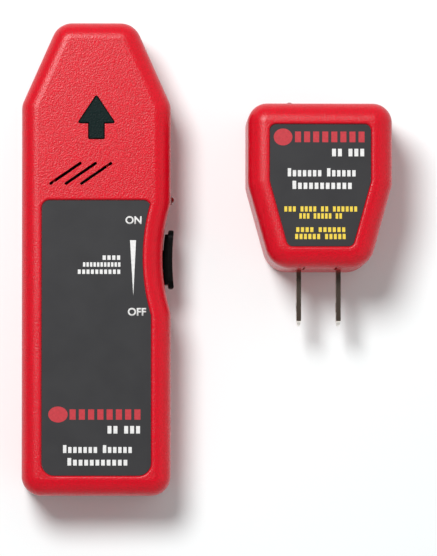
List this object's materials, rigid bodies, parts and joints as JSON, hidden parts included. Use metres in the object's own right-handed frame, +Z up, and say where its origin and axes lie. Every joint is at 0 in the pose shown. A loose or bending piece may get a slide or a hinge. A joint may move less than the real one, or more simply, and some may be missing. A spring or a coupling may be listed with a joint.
{
  "type": "circuit breaker finder",
  "caption": "Two-piece circuit breaker finder: a pocket receiver wand with an arrow light, sound slots and a side switch, and a transmitter with plug blades.",
  "frame": {"origin": "on the surface that both pieces lie on, under the middle of the pair's bounding box", "axes": "+Y along the receiver towards its pointed tip, +X from the receiver to the transmitter, +Z up out of both labels"},
  "size_m": [0.118, 0.1512, 0.0365],
  "materials": {
    "red_case": "satin",
    "dark_label": "matte",
    "arrow_lens": "satin",
    "black_plastic": "satin",
    "red_lens": "gloss",
    "green_lens": "gloss",
    "tin_plate": "satin",
    "board_green": "satin",
    "screw_steel": "satin",
    "blade_metal": "satin",
    "carrier_plastic": "matte",
    "copper_wire": "gloss",
    "ferrite": "matte",
    "battery_steel": "satin",
    "cell_body": "satin",
    "foam": "matte",
    "wire_red": "satin",
    "wire_black": "satin",
    "resistor_coat": "satin",
    "cement": "matte",
    "varistor_coat": "satin",
    "film_case": "satin",
    "fuse_glass": "gloss",
    "capacitor_sleeve": "satin"
  },
  "bodies": {
    "receiver": {"receiver_front_shell": "red_case", "receiver_rear_shell": "red_case", "receiver_label": "dark_label", "arrow_window": "arrow_lens", "beeper": "black_plastic", "amplifier_chip": "black_plastic", "controller_chip": "black_plastic", "battery_connector": "black_plastic", "battery_terminals": "black_plastic", "battery_snap": "black_plastic", "power_led": "red_lens", "arrow_leds": "green_lens", "led_leads": "tin_plate", "slide_switch_body": "tin_plate", "receiver_board": "board_green", "receiver_board_screws": "screw_steel", "receiver_case_screws": "screw_steel", "pickup_bobbin": "carrier_plastic", "pickup_winding": "copper_wire", "pickup_leads": "copper_wire", "pickup_core": "ferrite", "battery_can": "battery_steel", "battery_cells": "cell_body", "battery_pad": "foam", "battery_lead_red": "wire_red", "battery_lead_black": "wire_black", "receiver_resistors": "resistor_coat", "filter_capacitors": "capacitor_sleeve"},
    "switch_button": {"switch_button": "black_plastic", "switch_lever": "black_plastic"},
    "battery_door": {"battery_door": "red_case"},
    "transmitter": {"transmitter_front_shell": "red_case", "transmitter_rear_shell": "red_case", "transmitter_label": "dark_label", "blade_left": "blade_metal", "blade_right": "blade_metal", "blade_carrier": "carrier_plastic", "blade_leads": "wire_black", "transmitter_led": "red_lens", "transmitter_board": "board_green", "transmitter_board_screws": "screw_steel", "transmitter_case_screws": "screw_steel", "film_capacitor": "film_case", "load_resistor": "cement", "varistor": "varistor_coat", "fuse": "fuse_glass", "triac": "black_plastic", "smoothing_capacitor": "capacitor_sleeve", "timer_chip": "black_plastic"}
  },
  "joints": [
    {"name": "switch_slide", "type": "slide", "parent": "receiver", "child": "switch_button", "axis": [0, 1, 0], "range_m": [0, 0.002]},
    {"name": "door_slide", "type": "slide", "parent": "receiver", "child": "battery_door", "axis": [0, -1, 0], "range_m": [0, 0.05]},
    {"name": "transmitter_lift", "type": "slide", "parent": "receiver", "child": "transmitter", "axis": [0, 0, 1], "range_m": [0, 0.1]}
  ]
}
